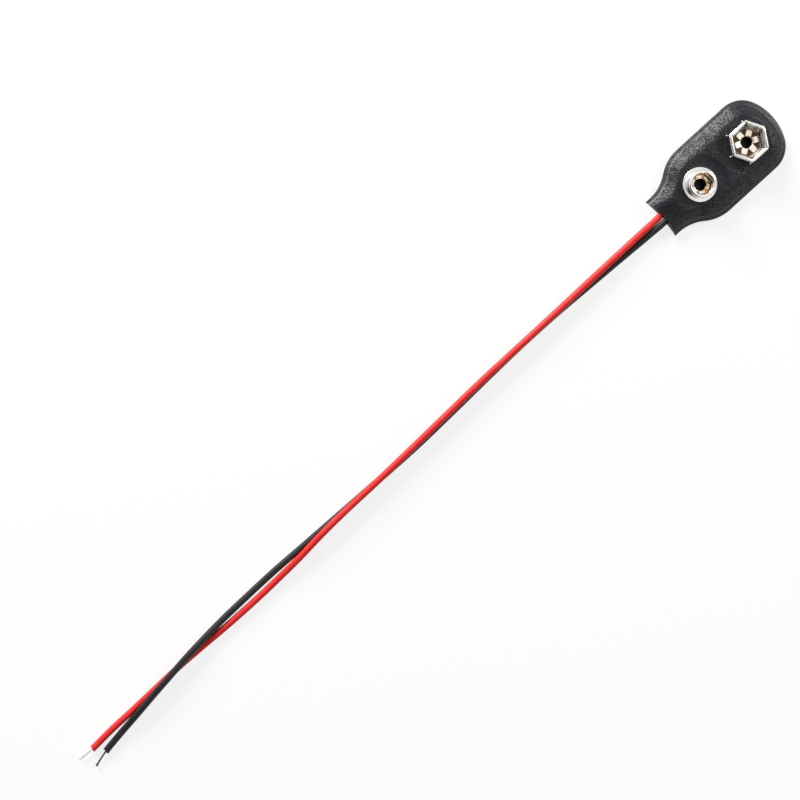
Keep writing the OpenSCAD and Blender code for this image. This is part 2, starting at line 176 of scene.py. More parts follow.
class TerminalSettings(bpy.types.PropertyGroup):
    metal: length("Metal", "Thickness of the terminals' sheet metal", 0.00025)
    bend: length("Bend", "Radius where a terminal's floor turns up", 0.00025)
    stud_width: length("Stud width", "Outer diameter of the stud", 0.0057)
    stud_height: length("Stud height", "Height of the stud above the face", 0.0028)
    stud_lip: length("Stud lip", "Width of the stud's folded lip", 0.00076)
    stud_land: length("Stud land", "Straight wall under the lip", 0.001)
    stud_waist: length("Stud waist", "Depth of the waist", 0.00017)
    flange: length("Flange", "Outer diameter of the stud's flange", 0.0071)
    socket_width: length("Socket width", "Across the flats of the socket", 0.0076)
    socket_height: length("Socket height", "Height of the socket above the face", 0.00275)
    socket_grip: length("Socket grip", "Between opposite spring fingers", 0.00565)
    fold: length("Fold", "Radius where a finger folds over", 0.00022)
    grip_height: length("Grip height", "Grip line above the face", 0.00135)
    curl: length("Curl", "Radius where a finger's end curls back", 0.0003)
    slit: length("Slit", "Gap between neighbouring fingers", 0.00016)
    tab: length("Tab", "How far the floor's corners stand out past the walls", 0.00007)
    eyelet_bore: length("Eyelet bore", "Bore of both eyelets", 0.0022)
    eyelet_wall: length("Eyelet wall", "Wall of both eyelets", 0.0002)
    eyelet_head: length("Eyelet head", "Diameter of the head behind the board", 0.0044)
    eyelet_fit: length("Eyelet fit", "Clearance of the eyelets in their holes", 0.00002)
    petal: length("Petal", "Width of each petal of the split end", 0.00125)
    stud_petal: length("Stud petal", "Reach of the petals inside the stud", 0.0019)
    socket_petal: length("Socket petal", "Reach of the petals inside the socket", 0.0025)


class LeadSettings(bpy.types.PropertyGroup):
    width: length("Width", "Outer diameter of the insulation", 0.0014)
    core: length("Core", "Diameter of the twisted strands", 0.0004)
    core_fit: length("Core fit", "Clearance of the strands in the insulation", 0.00002)
    fit: length("Fit", "Clearance of the leads between the sheets", 0.00005)
    lay: length("Lay", "Length of one turn of the strands", 0.006)
    ragged: length("Ragged", "How far from square the insulation is cut", 0.00022)


class FinishSettings(bpy.types.PropertyGroup):
    vinyl: colour("Vinyl", "Face of the black vinyl", (0.015, 0.015, 0.019))
    # The worn colour is also used as a painted sheen along the weld line
    vinyl_worn_and_sheen: colour("Worn vinyl", "Rubbed and creased black vinyl", (0.1, 0.1, 0.106))
    nickel: colour("Nickel", "Bright plating of the terminals", (0.83, 0.82, 0.79))
    brass: colour("Brass", "Clean plated brass of the eyelets", (0.92, 0.88, 0.8))
    # Near each eyelet's hole this brown is painted shade as well as tarnish
    tarnish_and_shade: colour("Tarnish", "Browned brass of the eyelets", (0.25, 0.12, 0.035))
    # Painted shade: this tint darkens the wall and floor inside the stud
    stud_painted_shade: colour("Amber", "Browned wall and floor inside the stud", (0.42, 0.23, 0.085))
    # Painted shade: this dark tint stands for the shadow on the floor inside the socket
    painted_shade_tint: colour("Grime", "Dark floor inside the socket", (0.09, 0.045, 0.018))
    tin: colour("Tin", "Tinned strands and solder", (0.86, 0.86, 0.84))
    # Painted shade: the black lead's strands get this darker copy of the tin
    shaded_tin: colour("Dull tin", "Strands of the black lead, gone dull", (0.16, 0.16, 0.17))
    red: colour("Red", "Red insulation", (0.85, 0.028, 0.024))
    black: colour("Black", "Black insulation", (0.014, 0.0135, 0.015))
    fibre: colour("Fibre", "Stiff board behind the face", (0.3, 0.19, 0.09))


class StageSettings(bpy.types.PropertyGroup):
    floor: colour("Floor", "Colour of the floor", (0.8, 0.8, 0.8))
    surround: FloatProperty(
        name="Surround", description="Light from all round, where 1 is white", default=0.16, min=0, max=2
    )
    key: wattage("Key", "Power of the soft box", 5.6)
    key_width: length("Key width", "Side of the soft box", 0.28)
    key_place: standpoint("Key place", "Where the soft box stands", (0.03, 0.58, 0.27))
    side: wattage("Side", "Power of the side light", 1.6)
    side_width: length("Side width", "Side of the side light", 0.22)
    side_place: standpoint("Side place", "Where the side light stands", (0.5, -0.1, 0.38))
    camera_place: standpoint("Camera place", "Where the camera stands", (-0.0760013, 0.0336704, 0.335))
    camera_turn: FloatVectorProperty(
        name="Camera turn", description="Turn of the camera from straight down",
        default=(-0.063405, -0.041748, -0.738574), size=3, subtype="EULER", unit="ROTATION",
    )
    camera_lens: FloatProperty(
        name="Camera lens", description="Focal length in millimetres", default=73.432, min=1
    )


class SnapSettings(bpy.types.PropertyGroup):
    pouch: PointerProperty(type=PouchSettings)
    terminals: PointerProperty(type=TerminalSettings)
    leads: PointerProperty(type=LeadSettings)
    finishes: PointerProperty(type=FinishSettings)
    stage: PointerProperty(type=StageSettings)


def mix(a, b, share):
    return a + (b - a) * share


def smooth(t):
    s = np.clip(t, 0, 1)
    return s * s * (3 - 2 * s)


def fade(value, start, width):
    """0 up to a start, and from there smoothly up to 1 over a width."""
    return smooth((value - start) / width)


def evenly_round(count):
    """Angles evenly spaced round a circle."""
    return 2 * np.pi * np.arange(count) / count


def from_axis(points, x):
    """Distance in plan of each point from an upright axis on the pouch's centre line."""
    points = np.asarray(points)
    return np.hypot(points[:, 0] - x, points[:, 1])


def run_along(line):
    """How far along a line each of its points is."""
    return np.concatenate(([0], np.cumsum(np.linalg.norm(np.diff(line, axis=0), axis=1))))


def arc(centre, radius, start, end, count):
    """Points along an arc in a plane, its angles in degrees."""
    a = np.radians(np.linspace(start, end, count))
    return np.column_stack((centre[0] + radius * np.cos(a), centre[1] + radius * np.sin(a)))


def heading(turn):
    """Directions ahead and to the left at an angle in plan."""
    return np.array((math.cos(turn), math.sin(turn))), np.array((-math.sin(turn), math.cos(turn)))


def spaced(line, step):
    """The same line with its points evenly spaced."""
    run = run_along(line)
    at = np.linspace(0, run[-1], max(2, math.ceil(run[-1] / step) + 1))
    return np.column_stack([np.interp(at, run, line[:, i]) for i in range(line.shape[1])])


class Stack:
    """Heights of the layers and places along the pouch, from the settings."""

    def __init__(self, settings):
        pouch, leads, terminals = settings.pouch, settings.leads, settings.terminals
        self.weld = pouch.sheet + leads.width / 2 + leads.fit
        self.board = pouch.sheet + leads.width + 2 * leads.fit
        self.face = self.board + pouch.board
        self.seat = self.face + pouch.sheet
        self.floor = self.seat + terminals.metal
        self.stud_x, self.socket_x = (
            sum(corner[0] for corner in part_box(node)) / 2 for node in ("stud_terminal", "socket_terminal")
        )
        bend = 1.25 * terminals.eyelet_wall
        self.eyelet_bend = bend
        self.eyelet_middle = (terminals.eyelet_bore + terminals.eyelet_wall) / 2
        self.hole = self.eyelet_middle + bend + terminals.eyelet_fit
        self.board_tail = self.stud_x - terminals.flange / 2 - pouch.board_margin


def put(name, data):
    """An object in the scene that shows a mesh, a lamp or a camera."""
    made = bpy.data.objects.new(name, data)
    bpy.context.scene.collection.objects.link(made)
    return made


def emptied_tree(owner):
    """The node tree of a material or a surround, with nothing in it."""
    owner.use_nodes = True
    owner.node_tree.nodes.clear()
    return owner.node_tree


def new_finish(name, base, **sockets):
    """A material whose shader has its plain sockets set."""
    material = bpy.data.materials.new(name)
    material.use_nodes = True
    shader = material.node_tree.nodes["Principled BSDF"]
    shader.inputs["Base Color"].default_value = (*base, 1)
    for socket, value in sockets.items():
        shader.inputs[socket.replace("_", " ")].default_value = value
    return material, shader


def add_node(tree, kind, inputs=None, **settings):
    """A node with its settings, its plain inputs and its links."""
    made = tree.nodes.new(kind)
    for key, value in settings.items():
        setattr(made, key, value)
    for key, value in (inputs or {}).items():
        if isinstance(value, bpy.types.NodeSocket):
            tree.links.new(value, made.inputs[key])
        else:
            made.inputs[key].default_value = value
    return made


def coordinates(tree, scale=(1, 1, 1), output="Object"):
    """Texture coordinates, stretched by a scale for each axis."""
    source = add_node(tree, "ShaderNodeTexCoord").outputs[output]
    if scale == (1, 1, 1):
        return source
    return add_node(tree, "ShaderNodeMapping", {"Vector": source, "Scale": scale}).outputs["Vector"]


def noise_node(tree, vector, scale, detail=3.0, roughness=0.5):
    inputs = {"Vector": vector, "Scale": scale, "Detail": detail, "Roughness": roughness}
    return add_node(tree, "ShaderNodeTexNoise", inputs).outputs["Fac"]


def math_node(tree, operation, *values):
    made = add_node(tree, "ShaderNodeMath", dict(enumerate(values)), operation=operation)
    return made.outputs[0]


def point_share(tree, name):
    """The share that a piece carries at its points under a name."""
    return add_node(tree, "ShaderNodeAttribute", attribute_name=name).outputs["Fac"]


def feed(tree, shader, **values):
    """Links a shader's sockets to values that vary over the surface."""
    for socket, value in values.items():
        tree.links.new(value, shader.inputs[socket.replace("_", " ")])


def ranged(tree, value, low, high, to_low=0.0, to_high=1.0):
    """A value moved from one range to another and held inside it."""
    inputs = {"Value": value, "From Min": low, "From Max": high, "To Min": to_low, "To Max": to_high}
    return add_node(tree, "ShaderNodeMapRange", inputs, interpolation_type="SMOOTHSTEP").outputs["Result"]


def two_tone(tree, share, first, second):
    """Two colours mixed by a share that varies over the surface."""
    inputs = {"Factor": share, "A": first if isinstance(first, bpy.types.NodeSocket) else (*first, 1),
              "B": (*second, 1)}
    return add_node(tree, "ShaderNodeMix", inputs, data_type="RGBA").outputs["Result"]


def bump_node(tree, height, distance, strength, under=None):
    inputs = {"Height": height, "Distance": distance, "Strength": strength}
    if under is not None:
        inputs["Normal"] = under
    return add_node(tree, "ShaderNodeBump", inputs).outputs["Normal"]


def vinyl_finish(finishes):
    material, shader = new_finish("grained_vinyl", finishes.vinyl, Specular_IOR_Level=0.25)
    tree = material.node_tree
    place = coordinates(tree)
    patches = noise_node(tree, place, 420, 4)
    # Random worn patches, and the painted sheen along the weld line
    scuffs = ranged(tree, patches, 0.45, 0.75, 0, 0.06)
    wear_and_sheen_share = math_node(tree, "MAXIMUM", scuffs, point_share(tree, "rubbed"))
    base = two_tone(tree, wear_and_sheen_share, finishes.vinyl, finishes.vinyl_worn_and_sheen)
    polish = ranged(tree, noise_node(tree, place, 1500, 3), 0.3, 0.7, 0.24, 0.36)
    gloss = ranged(tree, point_share(tree, "pebble"), 0.35, 0.95, 0.17, 0.36)
    cells = add_node(
        tree, "ShaderNodeTexVoronoi", {"Vector": place, "Scale": 5200.0}, feature="DISTANCE_TO_EDGE"
    )
    pebbles = bump_node(tree, ranged(tree, cells.outputs["Distance"], 0, 0.3), 0.000014, 0.6)
    pores = bump_node(tree, noise_node(tree, place, 14000, 4, 0.6), 0.000006, 0.5, pebbles)
    feed(tree, shader, Base_Color=base, Roughness=polish, Specular_IOR_Level=gloss, Normal=pores)
    return material


def metal_finish(
    name, base, darker, roughness, depth, streaks=(1, 1, 1), painted_shade_tint=None, patch=900, spots=(0.5, 0.85)
):
    """Bright metal with drawing marks, a varied polish, slight stains and painted shade in its recesses."""
    material, shader = new_finish(name, base, Metallic=1.0)
    tree = material.node_tree
    place = coordinates(tree)
    stain = ranged(tree, noise_node(tree, place, patch, 5, 0.6), *spots)
    tone = two_tone(tree, stain, base, darker)
    # Painted shade: a dark tint mixed in where a piece's points are marked as shaded
    if painted_shade_tint:
        tone = two_tone(tree, point_share(tree, "recess"), tone, painted_shade_tint)
    marks = noise_node(tree, coordinates(tree, streaks), 2600, 4, 0.6)
    even = ranged(tree, marks, 0.3, 0.7, *roughness)
    polish = math_node(tree, "MULTIPLY_ADD", point_share(tree, "dull"), DULLED, even)
    feed(tree, shader, Base_Color=tone, Roughness=polish, Normal=bump_node(tree, marks, depth, 0.5))
    return material


def insulation_finish(name, base, sheen):
    """Extruded PVC: long faint die lines, a soft gloss and fine dust."""
    material, shader = new_finish(name, base, Specular_IOR_Level=0.28)
    tree = material.node_tree
    round_and_along = coordinates(tree, (2.5, 2, 1), "UV")
    lines = noise_node(tree, round_and_along, 3.0, 1.5, 0.5)
    dust = noise_node(tree, coordinates(tree), 600, 2)
    tone = two_tone(tree, ranged(tree, dust, 0.4, 0.8), base, sheen)
    polish = ranged(tree, lines, 0.3, 0.7, 0.4, 0.5)
    feed(tree, shader, Base_Color=tone, Roughness=polish, Normal=bump_node(tree, lines, 0.00001, 0.15))
    return material


def fibre_finish(finishes):
    material, shader = new_finish("pressed_fibre", finishes.fibre, Roughness=0.85)
    tree = material.node_tree
    threads = noise_node(tree, coordinates(tree, (1, 0.12, 1)), 3200, 5, 0.65)
    paler = tuple(min(1, 1.6 * c) for c in finishes.fibre)
    base = two_tone(tree, ranged(tree, threads, 0.35, 0.7), finishes.fibre, paler)
    feed(tree, shader, Base_Color=base, Normal=bump_node(tree, threads, 0.00003, 0.6))
    return material


def new_piece(name, points, faces, finish, slot, stands_for=(), crease=40, **shades):
    """A mesh that rides on the part and takes the place of its plain solids, with shares at its points."""
    mesh = bpy.data.meshes.new(name)
    mesh.from_pydata([tuple(p) for p in points], [], [tuple(int(v) for v in f) for f in faces])
    mesh.materials.append(finish)
    mesh.polygons.foreach_set("use_smooth", [True] * len(mesh.polygons))
    mesh.set_sharp_from_angle(angle=math.radians(crease))
    for key, values in shades.items():
        mesh.attributes.new(key, "FLOAT", "POINT").data.foreach_set("value", np.asarray(values, np.float32))
    piece = put(name, mesh)
    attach(piece, BODY)
    if stands_for:
        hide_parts(*stands_for)
    return piece


def curve_through(route, first, last, step):
    """A smooth curve through a route's points, from one of them to another."""
    points = []
    for i in range(first, last):
        a, b, c, d = route[max(i - 1, 0)], route[i], route[i + 1], route[min(i + 2, len(route) - 1)]
        for t in np.arange(steps := math.ceil(np.linalg.norm(c - b) / step)) / steps:
            points.append(b + (c - a) * t / 2 + (2 * a - 5 * b + 4 * c - d) * t ** 2 / 2
                          + (3 * b - a - 3 * c + d) * t ** 3 / 2)
    return np.array(points + [route[last]])


def cross_axes(path):
    """Directions square to a path at each point, level across and up."""
    along = np.gradient(path, axis=0)
    along /= np.linalg.norm(along, axis=1)[:, None]
    side = np.cross(UP, along)
    side /= np.linalg.norm(side, axis=1)[:, None]
    return along, side, np.cross(along, side)


def out_from(side, up, sides):
    """Directions out from a path, evenly round it at each of its points."""
    angles = evenly_round(sides)
    return np.cos(angles)[None, :, None] * side[:, None] + np.sin(angles)[None, :, None] * up[:, None]


def ring_faces(first, rings, sides, inward=False, closed=False):
    """Quads of a tube whose rings of points follow each other, and may come back to the first."""
    faces = []
    for i in range(rings if closed else rings - 1):
        here, there = first + i * sides, first + (i + 1) % rings * sides
        for k in range(sides):
            n = (k + 1) % sides
            quad = (here + k, here + n, there + n, there + k)
            faces.append(quad[::-1] if inward else quad)
    return faces


def insulation_piece(name, route, leads, finish, slot, node):
    """The hollow jacket of one lead, cut a little ragged at its far end."""
    sides, step = 24, 0.0005
    path = curve_through(route, 1, len(route) - 2, step)
    along, side, up = cross_axes(path)
    angles, out = evenly_round(sides), out_from(side, up, sides)
    cut = leads.ragged * (np.cos(angles + 0.6) + 0.2 * np.cos(2 * angles + 1))
    layers = []
    for radius in (leads.width / 2, leads.core / 2 + leads.core_fit):
        layer = path[:, None] + radius * out
        layer[-1] += cut[:, None] * along[-1]
        layers.append(layer.reshape(-1, 3))
    rings, inner = len(path), len(path) * sides
    faces = ring_faces(0, rings, sides) + ring_faces(inner, rings, sides, inward=True)
    for end, flip in ((0, True), ((rings - 1) * sides, False)):
        for k in range(sides):
            a, b = end + k, end + (k + 1) % sides
            quad = (a, b, inner + b, inner + a)
            faces.append(quad[::-1] if flip else quad)
    piece = new_piece(name, np.concatenate(layers), faces, finish, slot, (node,), crease=50)
    uv = piece.data.uv_layers.new(name="around_and_along")
    span = run_along(path) / leads.width
    for polygon in piece.data.polygons:
        columns = [piece.data.loops[i].vertex_index % sides for i in polygon.loop_indices]
        wraps = max(columns) - min(columns) > 1
        for i, column in zip(polygon.loop_indices, columns):
            ring = piece.data.loops[i].vertex_index % inner // sides
            uv.data[i].uv = ((sides if wraps and column == 0 else column) / sides, span[ring] / 60)
    return piece, path


def strands_piece(name, route, leads, swell, finish, node):
    """Seven tinned strands, twisted together along the whole lead and run together at the tip."""
    sides, step = 6, 0.0003
    path = curve_through(route, 0, len(route) - 1, step)
    along, side, up = cross_axes(path)
    run = run_along(path)
    strand = leads.core / 6
    bead = mix(1, swell, np.exp(-((run[-1] - run - 0.0003) / 0.0003) ** 2))[:, None]
    out = out_from(side, up, sides)
    points, faces = [], []
    for index in range(SIDES + 1):
        reach = 0 if index == SIDES else 2 * strand
        turn = 2 * np.pi * run / leads.lay + index * SECTOR
        line = path + reach * bead * (np.cos(turn)[:, None] * side + np.sin(turn)[:, None] * up)
        line[-1] -= along[-1] * strand * (index % 3)
        first = sum(len(p) for p in points)
        points.append((line[:, None] + strand * bead[:, None] * out).reshape(-1, 3))
        faces += ring_faces(first, len(path), sides)
        last = first + (len(path) - 1) * sides
        faces += [tuple(range(first + sides - 1, first - 1, -1)), tuple(range(last, last + sides))]
    return new_piece(name, np.concatenate(points), faces, finish, "tin", (node,), crease=80)


class SNAP_OT_leads(bpy.types.Operator):
    """Lays the red and the black lead with their twisted cores"""
    bl_idname = "battery_snap.leads"
    bl_label = "Leads"

    def execute(self, context):
        settings = context.scene.battery_snap
        leads, finishes = settings.leads, settings.finishes
        # The black lead's strands take the darker tin, which is painted shade
        for name, route, inside, base, sheen, metal, swell in (
            ("red", RED_ROUTE, RED_INSIDE, finishes.red, (0.9, 0.045, 0.04), finishes.tin, 1.0),
            ("black", BLACK_ROUTE, BLACK_INSIDE, finishes.black, (0.024, 0.023, 0.025),
             finishes.shaded_tin, 1.5),
        ):
            darker = tuple(0.7 * c for c in metal)
            tin = metal_finish(f"{name}_strands", metal, darker, roughness=(0.25, 0.4), depth=0.000004)
            finish = insulation_finish(f"{name}_insulation", base, sheen)
            core = strands_piece(f"{name}_core", route, leads, swell, tin, f"{name}_strands")
            jacket, path = insulation_piece(
                f"{name}_lead", route, leads, finish, f"{name}_pvc", f"{name}_insulation"
            )
        return {"FINISHED"}


def half_edge(pouch, step):
    """Half of the pouch's edge in plan, from a tail corner to the tip of the nose."""
    tail, tip, half, neck = -pouch.long / 2, pouch.long / 2, pouch.width / 2, pouch.neck_width / 2
    neck_end = tail + pouch.neck_length
    side = neck_end + pouch.shoulder
    drop = half - neck
    radius = (pouch.shoulder ** 2 + drop ** 2) / (4 * drop)
    swing = math.degrees(math.asin(pouch.shoulder / 2 / radius))
    nose = tip - pouch.nose_radius
    off = pouch.nose_radius - pouch.corner_radius
    corner = math.degrees(math.asin((half - pouch.corner_radius) / off))
    corner_x = nose + off * math.cos(math.radians(corner))
    line = np.concatenate((
        [(tail, neck)],
        arc((neck_end, neck + radius), radius, -90, swing - 90, 60),
        arc((side, half - radius), radius, 90 + swing, 90, 60)[1:],
        arc((corner_x, half - pouch.corner_radius), pouch.corner_radius, 90, corner, 60),
        arc((nose, 0), pouch.nose_radius, corner, 0, 40)[1:],
    ))
    return spaced(line, step)


def from_line(points, line):
    """Distance from each point to a line, and how far along the line the nearest place is."""
    starts, along = line[:-1], np.diff(line, axis=0)
    lengths = np.linalg.norm(along, axis=1)
    run = run_along(line)
    gap, place = np.empty(len(points)), np.empty(len(points))
    for block in np.array_split(np.arange(len(points)), max(1, len(points) // 2000)):
        to = points[block, None] - starts[None]
        share = np.clip((to * along).sum(2) / lengths ** 2, 0, 1)
        gaps = np.linalg.norm(to - share[..., None] * along, axis=2)
        best = gaps.argmin(1)
        rows = np.arange(len(block))
        gap[block] = gaps[rows, best]
        place[block] = run[best] + share[rows, best] * lengths[best]
    return gap, place


class Plan:
    """The pouch in plan: its edge, and points spread over it."""

    def __init__(self, settings, stack):
        self.pouch, self.stack = settings.pouch, stack
        self.tail = -settings.pouch.long / 2
        self.neck = settings.pouch.neck_width / 2
        self.step = 0.0001
        self.coarse = half_edge(self.pouch, COARSE_EDGE)
        behind = np.array([(self.tail - 0.004, self.neck)])
        upper = np.concatenate((behind, self.coarse))
        self.sides = np.concatenate((upper, (upper * (1, -1))[-2::-1]))

    def loops(self, holes):
        """Closed lines round the sheet, the edge first and then each hole."""
        half = half_edge(self.pouch, self.step)
        middle = np.array([(self.tail + self.pouch.notch, 0)])
        corner = half[:1]
        tail = np.concatenate((
            spaced(np.concatenate((corner * (1, -1), middle)), self.step)[1:-1],
            spaced(np.concatenate((middle, corner)), self.step)[:-1],
        ))
        edge = np.concatenate((tail, half, (half * (1, -1))[-2::-1]))[::-1]
        turns = np.linspace(0, 2 * np.pi, 72, endpoint=False)
        circle = self.stack.hole * np.column_stack((np.cos(turns), -np.sin(turns)))
        return [edge] + [circle + (x, 0) for x in holes]

    def inner_points(self, step, holes):
        """Points spread evenly inside the loops."""
        rows = np.arange(-self.pouch.width / 2, self.pouch.width / 2, step * math.sqrt(3) / 2)
        columns = np.arange(self.tail, -self.tail, step)
        grid = np.concatenate([
            np.column_stack((columns + step / 2 * (i % 2), np.full(len(columns), y)))
            for i, y in enumerate(rows)
        ])
        clear = 0.6 * step
        grid = grid[np.abs(grid[:, 1]) < np.interp(grid[:, 0], *self.coarse.T, right=0)]
        notch = self.tail + self.pouch.notch * (1 - np.abs(grid[:, 1]) / self.neck)
        grid = grid[grid[:, 0] > notch + clear]
        grid = grid[from_line(grid, self.sides)[0] > clear]
        for x in holes:
            grid = grid[from_axis(grid, x) > self.stack.hole + clear]
        return grid

    def triangles(self, loops, inner):
        """Triangles inside the edge and outside the holes."""
        points = np.concatenate(loops + [inner])
        outlines, first = [], 0
        for loop in loops:
            outline = list(range(first, first + len(loop)))
            outlines.append(outline[::-1] if first else outline)
            first += len(loop)
        out = delaunay_2d_cdt([Vector(p) for p in points], [], outlines, 1, 1e-9, True)
        back = [ids[0] for ids in out[3]]
        kept = [f for f, inside in zip(out[2], out[5]) if list(inside) == [0]]
        return points, np.array([[back[v] for v in f] for f in kept])


def rise(inset, rim, slope):
    """Share of the full rise at a distance from the edge."""
    s = np.clip((inset - rim) / slope, 0, 1)
    return 1 - (1 - s) ** 2


def sheet_thickness(pouch, share):
    return mix(pouch.rim_sheet, pouch.sheet, np.minimum(1, share / FULL_SHEET))


def grain(points, size, seed):
    """Leather grain at each point: 0 on top of the pebbles, down to about -1 in the creases between them."""
    noise.seed_set(WARP_SEED)
    values = np.empty(len(points))
    for i, (x, y) in enumerate(points):
        p = Vector((x / size, y / size, seed))
        near = noise.voronoi(p + 0.5 * noise.noise_vector(0.7 * p))[0][0]
        values[i] = -min(1.0, 1.6 * near * near)
    return values


def grain_share(inset, share):
    """How much of the grain is left: pressed flatter by the weld, and flattest at the cut edge."""
    return mix(0.5, 1, np.minimum(1, share * 3)) * mix(0.4, 1, fade(inset, 0, 0.0006))


def soft_noise(points, size, seed):
    """Slow unevenness at each point, from about -1 to 1."""
    return np.array([noise.noise((x / size, y / size, seed)) for x, y in points])


def swell(inset, pouch, ahead):
    """How far the face stands above its edge: an even slope that then levels out, lower in the tail."""
    run = inset / mix(TAIL_RUN, 1, ahead)
    straight, level = pouch.face_straight, pouch.face_level
    bent = np.clip(run, straight, level) - straight
    run = np.minimum(run, straight) + bent - bent ** 2 / 2 / (level - straight)
    run = run - RIM_PRESSED * np.minimum(run, pouch.rim)
    return pouch.face_pitch * run * mix(TAIL_HEIGHT, 1, ahead)


def weld_line(inset, pouch):
    """1 on the line that the welding tool leaves, and 0 away from it."""
    return np.exp(-((inset - pouch.rim) / WELD_LINE) ** 2)


def wrinkle_band(inset, pouch):
    """1 in the band inside the weld where the sheet wrinkles, fading out on both sides."""
    past = inset - pouch.rim
    return fade(past, 0, 0.0004) * (1 - fade(past, 0.0009, 0.0016))


def rubbed(inset, place, pouch):
    """Worn vinyl and painted sheen: a light line in stretches along the weld line, and a little wear on the
    cut edge and the rim.
    """
    stretches = smooth(0.6 + 1.2 * soft_noise(np.column_stack((place, 0 * place)), size=0.0045, seed=2.6))
    edge = 0.22 * np.exp(-(inset / 0.00018) ** 2)
    weld = 0.9 * stretches * np.exp(-((inset - pouch.rim) / 0.00013) ** 2)
    return np.clip(edge + weld + 0.08 * (1 - fade(inset, 0.0007, 0.0007)), 0, 1)


def face_heights(points, settings, stack, plan, detail):
    """Upper or lower surface of the face sheet. The upper one has the puff, weld line, wrinkles and grain."""
    pouch, terminals = settings.pouch, settings.terminals
    inset, place = from_line(points, plan.sides)
    share = rise(inset, pouch.rim, pouch.slope)
    tunnel_end = stack.board_tail - pouch.board_margin - pouch.sheet
    ahead = fade(points[:, 0], plan.tail, tunnel_end - plan.tail)
    tunnel = settings.leads.width / 2 + settings.leads.fit
    under = stack.weld + share * mix(tunnel, stack.face - stack.weld, ahead)
    if not detail:
        return under, None, None
    stud_gap = from_axis(points, stack.stud_x) - terminals.flange / 2
    socket_gap = from_axis(points, stack.socket_x) - terminals.socket_width / 2
    gap = np.minimum(stud_gap, socket_gap)
    clear = fade(gap, 0.0003, 0.002)
    free = fade(np.minimum(stud_gap, socket_gap - 0.0003), 0, 0.0004)
    dome = stack.weld + pouch.cut_edge + swell(inset, pouch, ahead)
    dish = stack.seat + DISH_CURVE * np.maximum(0, gap - pouch.dish) ** 2
    top = np.minimum(dome, dish) - SOFT_MEET * np.log1p(np.exp(-np.abs(dome - dish) / SOFT_MEET))
    uneven = 0.00007 * soft_noise(points, size=0.0035, seed=3.1) * clear * share
    bead = pouch.weld_bead * weld_line(inset, pouch)
    waver = soft_noise(np.column_stack((place, inset * 0.4)), size=0.0011, seed=8.4)
    ahead_of_tail = fade(points[:, 0], -0.012, 0.006)
    wrinkles = pouch.wrinkle * 2 * waver * wrinkle_band(inset, pouch) * ahead_of_tail
    pebbles = grain(points, pouch.grain_size, seed=1.7) * grain_share(inset, share)
    height = top + uneven + bead + wrinkles + pouch.grain_depth * free * pebbles
    return height, rubbed(inset, place, pouch), 1 + pebbles


def back_heights(points, settings, stack, plan, detail):
    """Upper or lower surface of the back sheet. The lower one has the weld line, wrinkles and grain."""
    pouch, leads = settings.pouch, settings.leads
    inset, place = from_line(points, plan.sides)
    share = rise(inset, pouch.rim, pouch.slope)
    held = [from_line(points, route[:inside + 1, :2])[0]
            for route, inside in ((RED_ROUTE, RED_INSIDE), (BLACK_ROUTE, BLACK_INSIDE))]
    held += [from_axis(points, x) - settings.terminals.eyelet_head / 2
             for x in (stack.stud_x, stack.socket_x)]
    away = np.min(held, axis=0)
    drawn = pouch.back_draw * fade(away, leads.width / 2, pouch.slope)
    over = stack.weld - share * (stack.weld - pouch.sheet - drawn)
    if not detail:
        return over, None, None
    low = over - sheet_thickness(pouch, share)
    groove = pouch.weld_bead * weld_line(inset, pouch)
    waver = soft_noise(np.column_stack((place, inset * 0.4)), size=0.0012, seed=5.2)
    wrinkles = pouch.wrinkle * (1 + waver) * wrinkle_band(inset, pouch)
    dents = (0.00012 * (1 + soft_noise(points, size=0.0055, seed=6.3))
             + 0.00002 * (1 + soft_noise(points, size=0.002, seed=9.1)))
    uneven = dents * fade(away, leads.width / 2, 0.001) * share
    pebbles = grain(points, pouch.grain_size, seed=4.2) * grain_share(inset, share)
    thinned = (pouch.rim_sheet - pouch.cut_edge) * np.clip(1 - inset / pouch.rim, 0, 1) ** 2
    height = low + thinned + groove + wrinkles + uneven - pouch.grain_depth * pebbles
    return height, rubbed(inset, place, pouch), 1 + pebbles


def sheet_piece(name, settings, stack, plan, heights, holes, finish, node, faces_up):
    """A vinyl sheet as a closed shell, finely meshed on the side that shows."""
    loops = plan.loops(holes)
    shown, shown_faces = plan.triangles(loops, plan.inner_points(plan.step, holes))
    hidden, hidden_faces = plan.triangles(loops, plan.inner_points(COARSE_SHEET, holes))
    shown_z, wear_and_sheen_share, pebble = heights(shown, settings, stack, plan, True)
    hidden_z, _, _ = heights(hidden, settings, stack, plan, False)
    points = np.concatenate((np.column_stack((shown, shown_z)), np.column_stack((hidden, hidden_z))))
    offset = len(shown)
    up, down = (shown_faces, hidden_faces + offset) if faces_up else (hidden_faces + offset, shown_faces)
    faces = [tuple(f) for f in up] + [tuple(f[::-1]) for f in down]
    first = 0
    for loop in loops:
        n = len(loop)
        for i in range(n):
            a, b = first + i, first + (i + 1) % n
            quad = (a + offset, b + offset, b, a) if faces_up else (a, b, b + offset, a + offset)
            faces.append(quad)
        first += n
    # Wear and painted sheen on the side that shows, none on the hidden side
    wear_and_sheen_share = np.concatenate((wear_and_sheen_share, np.zeros(len(hidden))))
    pebble = np.concatenate((pebble, np.ones(len(hidden))))
    piece = new_piece(name, points, faces, finish, "vinyl", (node,), crease=55, rubbed=wear_and_sheen_share, pebble=pebble)
    return piece


